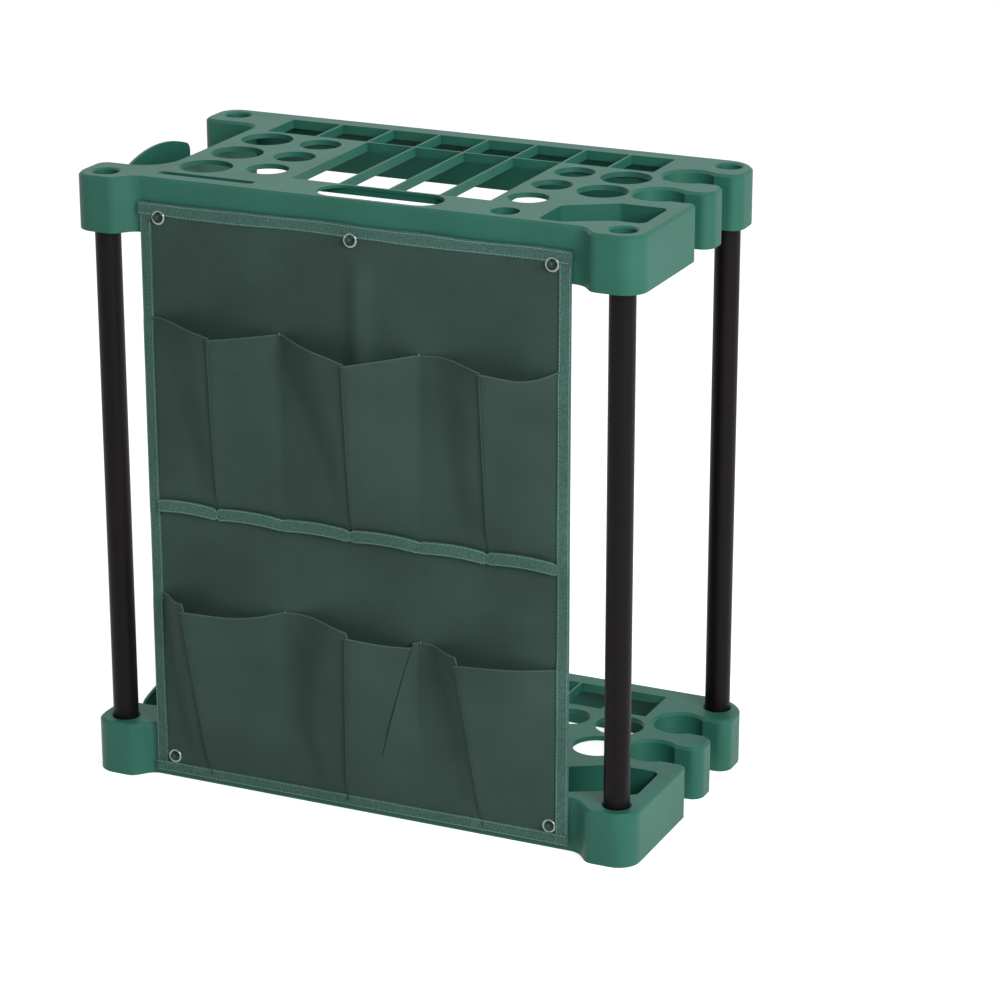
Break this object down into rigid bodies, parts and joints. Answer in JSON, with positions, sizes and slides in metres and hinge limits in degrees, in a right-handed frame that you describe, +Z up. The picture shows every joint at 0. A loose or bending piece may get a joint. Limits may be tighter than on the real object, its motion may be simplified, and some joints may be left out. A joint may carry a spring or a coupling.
{
  "type": "freestanding garden tool rack",
  "caption": "Rack with two moulded trays on four tubes, for upright garden tools, and a cloth pouch with pleated pockets hung in front.",
  "frame": {"origin": "on the floor, under the middle of the whole rack with its pouch", "axes": "+X along the rack to the right seen from the front, +Y from the pouch side to the back, +Z up"},
  "size_m": [0.58, 0.3264, 0.61],
  "materials": {
    "tray_plastic": "moulded polypropylene, fine satin grain",
    "tube_steel": "black powder coat on steel tube",
    "peg_plastic": "moulded polypropylene",
    "pouch_cloth": "woven polyester",
    "binding_tape": "woven binding tape",
    "eyelet_metal": "nickel plated"
  },
  "bodies": {
    "rack": {"upper_tray": "tray_plastic", "lower_tray": "tray_plastic", "tube_front_left": "tube_steel", "tube_front_right": "tube_steel", "tube_rear_left": "tube_steel", "tube_rear_right": "tube_steel", "peg_top_left": "peg_plastic", "peg_top_middle": "peg_plastic", "peg_top_right": "peg_plastic", "peg_bottom_left": "peg_plastic", "peg_bottom_right": "peg_plastic"},
    "pouch": {"pouch_back": "pouch_cloth", "tape_top": "binding_tape", "tape_bottom": "binding_tape", "tape_left": "binding_tape", "tape_right": "binding_tape", "tape_middle": "binding_tape", "pocket_row_upper": "pouch_cloth", "pocket_row_lower": "pouch_cloth", "eyelet_top_left": "eyelet_metal", "eyelet_top_middle": "eyelet_metal", "eyelet_top_right": "eyelet_metal", "eyelet_bottom_left": "eyelet_metal", "eyelet_bottom_right": "eyelet_metal"}
  },
  "joints": [
    {"name": "pouch_off", "type": "slide", "parent": "rack", "child": "pouch", "axis": [0, -1, 0], "range_m": [0, 0.05]}
  ]
}
